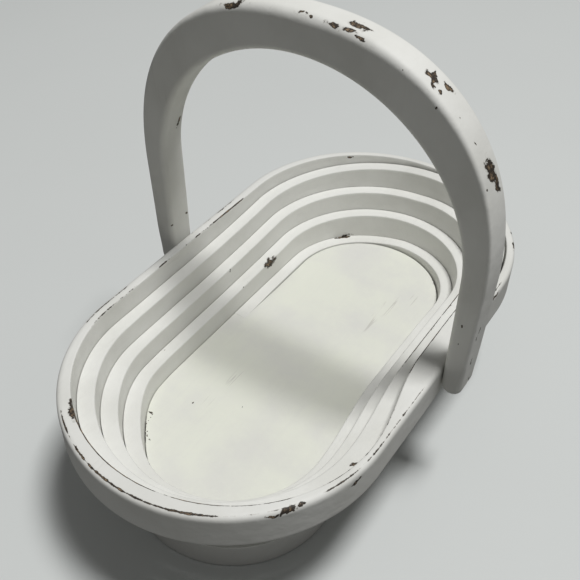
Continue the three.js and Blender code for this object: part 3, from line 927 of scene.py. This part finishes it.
# Flaked paint on the arch: degrees round from the left leg, place across the board, depth below
# the outer edge, slant, length and width. Those on the legs are given by place and direction.
ARCH_CHIPS = (
    (70.0, -8.6, 1.4, 0.0, 16.0, 3.6),
    (89.5, -7.4, 0.9, 0.0, 4.5, 1.8),
    (91.9, -8.0, 1.4, 0.0, 3.5, 1.6),
    (97.8, -7.1, 0.7, 0.0, 9.0, 3.2),
    (101.7, -7.2, 0.6, 0.0, 8.0, 2.6),
    (102.6, -2.1, 0.0, 0.1, 11.0, 5.0),
    (104.7, -8.6, 1.6, 0.2, 6.0, 2.0),
    (121.9, -1.2, 0.0, 0.3, 8.0, 4.2),
    (121.8, 1.7, 0.0, -1.6, 5.0, 2.6),
    (123.3, -3.2, 0.0, -1.0, 4.5, 2.2),
    (126.0, 3.4, 0.0, 0.1, 6.0, 2.8),
    (125.6, -3.2, 0.0, 0.0, 2.6, 2.2),
    (132.1, -5.6, 0.0, 0.0, 4.4, 1.8),
    (146.8, 1.0, 0.0, 0.0, 13.0, 6.6),
    (150.6, 3.2, 0.0, 0.4, 9.0, 4.4),
    (117.0, -9.8, 3.0, 0.0, 1.8, 1.4),
    (127.1, -9.8, 2.2, 0.0, 1.8, 1.4),
    (133.8, -3.7, 0.0, 0.0, 1.8, 1.4),
    (138.7, -2.1, 0.0, 0.0, 2.0, 1.4),
    (143.6, -9.6, 1.0, 0.0, 1.8, 1.4),
    (149.6, -6.3, 0.0, 0.0, 1.8, 1.4),
)
LEG_CHIPS = (
    ((-11.1, -108.5, 140.6), (0.0, 0.0, 1.0), 1.9, 1.1),
    ((-10.8, -108.5, 128.5), (0.0, 0.0, 1.0), 1.3, 1.1),
    ((-4.4, -116.3, 134.0), (0.1, 0.0, 1.0), 9.0, 2.0),
    ((-2.2, -115.5, 111.2), (0.1, 0.0, 1.0), 8.0, 2.0),
    ((1.7, 99.4, 192.0), (0.0, 0.2, -0.97), 8.0, 2.4),
    ((5.8, 101.9, 117.9), (0.0, 0.0, 1.0), 1.8, 1.5),
    ((-8.0, 101.9, 118.0), (0.0, 0.0, 1.0), 1.8, 1.5),
)
handle_chips = list(LEG_CHIPS)
for degrees, x, drop, slant, length, width in ARCH_CHIPS:
    t = math.radians(degrees)
    r = arch_radius(t) - drop
    centre = leaned(x, r * math.cos(t), ARCH_Z + r * math.sin(t))
    handle_chips.append((centre, (slant, -math.sin(t), math.cos(t)), length, width))
HANDLE_GRAIN = (GRAIN_ACROSS, GRAIN_ACROSS, GRAIN_ALONG)
handle_paint = chalk_paint("chalk_paint_handle", HANDLE_GRAIN, FAINT_CRACKS, handle_chips)
handle = make_piece("handle", handle_sections, capped=False)
bore_mesh = bpy.data.meshes.new("bore")
bore_shape = bmesh.new()
lying = Matrix.Translation((0.0, 0.0, PIVOT_Z * MM)) @ Matrix.Rotation(math.radians(90.0), 4, "X")
bmesh.ops.create_cone(
    bore_shape, cap_ends=True, segments=PIN_SIDES, matrix=lying,
    radius1=HANDLE_BORE * MM, radius2=HANDLE_BORE * MM, depth=BORE_LENGTH * MM,
)
bore_shape.to_mesh(bore_mesh)
bore_shape.free()
bore = bpy.data.objects.new("bore", bore_mesh)
bpy.context.collection.objects.link(bore)
drill = handle.modifiers.new("drill", "BOOLEAN")
drill.operation = "DIFFERENCE"
drill.object = bore
bpy.context.view_layer.update()
drilled = bpy.data.meshes.new_from_object(handle.evaluated_get(bpy.context.evaluated_depsgraph_get()))
handle.modifiers.remove(drill)
handle.data = drilled
bpy.data.objects.remove(bore)
dress(handle, handle_paint)
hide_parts("handle")
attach(handle, "handle")

# The studio: a plain pale floor, one square lamp almost overhead and a little to the
# right, and a weak fill from the room. The floor throws back less light than it shows.
GROUND_PALE = (0.680, 0.700, 0.688, 1.0)
GROUND_SHADE = (0.640, 0.660, 0.648, 1.0)
GROUND_BOUNCE = (0.200, 0.203, 0.198, 1.0)
GROUND_CLOUDS = ((3.0, 3.0, 3.0), 3.0, 0.5)
GROUND_ROUGHNESS = 0.9
GROUND_SPECULAR = 0.1
GROUND_HALF = 2.5
ROOM_WHITE = (1.0, 1.0, 0.99, 1.0)
ROOM_LIGHT = 0.145
ROOM_SEEN = 0.80
KEY_POWER = 72.0
KEY_PLACE = Vector((0.18, -0.64, 3.0))
KEY_AIM = Vector((0.0, 0.0, 0.10))
KEY_SIZE = 0.66

ground_material = bpy.data.materials.new("pale_floor")
ground_material.use_nodes = True
ground_tree = ground_material.node_tree
ground_tree.nodes.clear()
ground_spot = knot(ground_tree, "ShaderNodeTexCoord", {}).outputs["Object"]
ground_cloud = stretched(ground_tree, ground_spot, *GROUND_CLOUDS)
ground_tone = blended(ground_tree, ground_cloud, GROUND_PALE, GROUND_SHADE)
straight_look = knot(ground_tree, "ShaderNodeLightPath", {}).outputs["Is Camera Ray"]
ground_surface = {
    "Base Color": blended(ground_tree, straight_look, GROUND_BOUNCE, ground_tone),
    "Roughness": GROUND_ROUGHNESS,
    "Specular IOR Level": GROUND_SPECULAR,
}
ground_shader = knot(ground_tree, "ShaderNodeBsdfPrincipled", ground_surface)
knot(ground_tree, "ShaderNodeOutputMaterial", {"Surface": ground_shader.outputs[0]})
ground_corners = [(x * GROUND_HALF, y * GROUND_HALF, 0) for x, y in ((-1, -1), (1, -1), (1, 1), (-1, 1))]
ground_mesh = bpy.data.meshes.new("studio_floor")
ground_mesh.from_pydata(ground_corners, [], [(0, 1, 2, 3)])
ground_mesh.materials.append(ground_material)
studio_floor = bpy.data.objects.new("studio_floor", ground_mesh)
bpy.context.collection.objects.link(studio_floor)

world = bpy.data.worlds.new("room")
bpy.context.scene.world = world
world.use_nodes = True
room_tree = world.node_tree
room_tree.nodes.clear()
room_fill = knot(room_tree, "ShaderNodeBackground", {"Color": ROOM_WHITE, "Strength": ROOM_LIGHT})
room_seen = knot(room_tree, "ShaderNodeBackground", {"Color": GROUND_PALE, "Strength": ROOM_SEEN})
room_look = knot(room_tree, "ShaderNodeLightPath", {}).outputs["Is Camera Ray"]
room_parts = {0: room_look, 1: room_fill.outputs[0], 2: room_seen.outputs[0]}
room = knot(room_tree, "ShaderNodeMixShader", room_parts)
knot(room_tree, "ShaderNodeOutputWorld", {"Surface": room.outputs[0]})

key_light = bpy.data.lights.new("key_lamp", "AREA")
key_light.energy = KEY_POWER
key_light.size = KEY_SIZE
key_lamp = bpy.data.objects.new("key_lamp", key_light)
key_lamp.location = KEY_PLACE
key_lamp.rotation_euler = (KEY_AIM - KEY_PLACE).to_track_quat("-Z", "Y").to_euler()
bpy.context.collection.objects.link(key_lamp)

# The camera: a hand-held view from above the near right end of the bowl, looking
# down at about forty-two degrees.
CAMERA_PLACE = Vector((-0.3455, -0.2121, 0.4718))
CAMERA_YAW = 0.5772
CAMERA_PITCH = 0.7364
CAMERA_ROLL = 0.0193
CAMERA_LENS = 52.87
SENSOR_WIDTH = 36.0
ahead = Vector((
    math.cos(CAMERA_PITCH) * math.cos(CAMERA_YAW),
    math.cos(CAMERA_PITCH) * math.sin(CAMERA_YAW),
    -math.sin(CAMERA_PITCH),
))
level = ahead.cross(Vector((0.0, 0.0, 1.0))).normalized()
upright = level.cross(ahead)
right = level * math.cos(CAMERA_ROLL) + upright * math.sin(CAMERA_ROLL)
up = upright * math.cos(CAMERA_ROLL) - level * math.sin(CAMERA_ROLL)
lens = bpy.data.cameras.new("camera")
lens.lens = CAMERA_LENS
lens.sensor_width = SENSOR_WIDTH
camera = bpy.data.objects.new("camera", lens)
bpy.context.collection.objects.link(camera)
turned = Matrix((right, up, -ahead)).transposed().to_4x4()
camera.matrix_world = Matrix.Translation(CAMERA_PLACE) @ turned
bpy.context.scene.camera = camera
bpy.context.scene.view_settings.view_transform = "Standard"

bpy.context.view_layer.update()
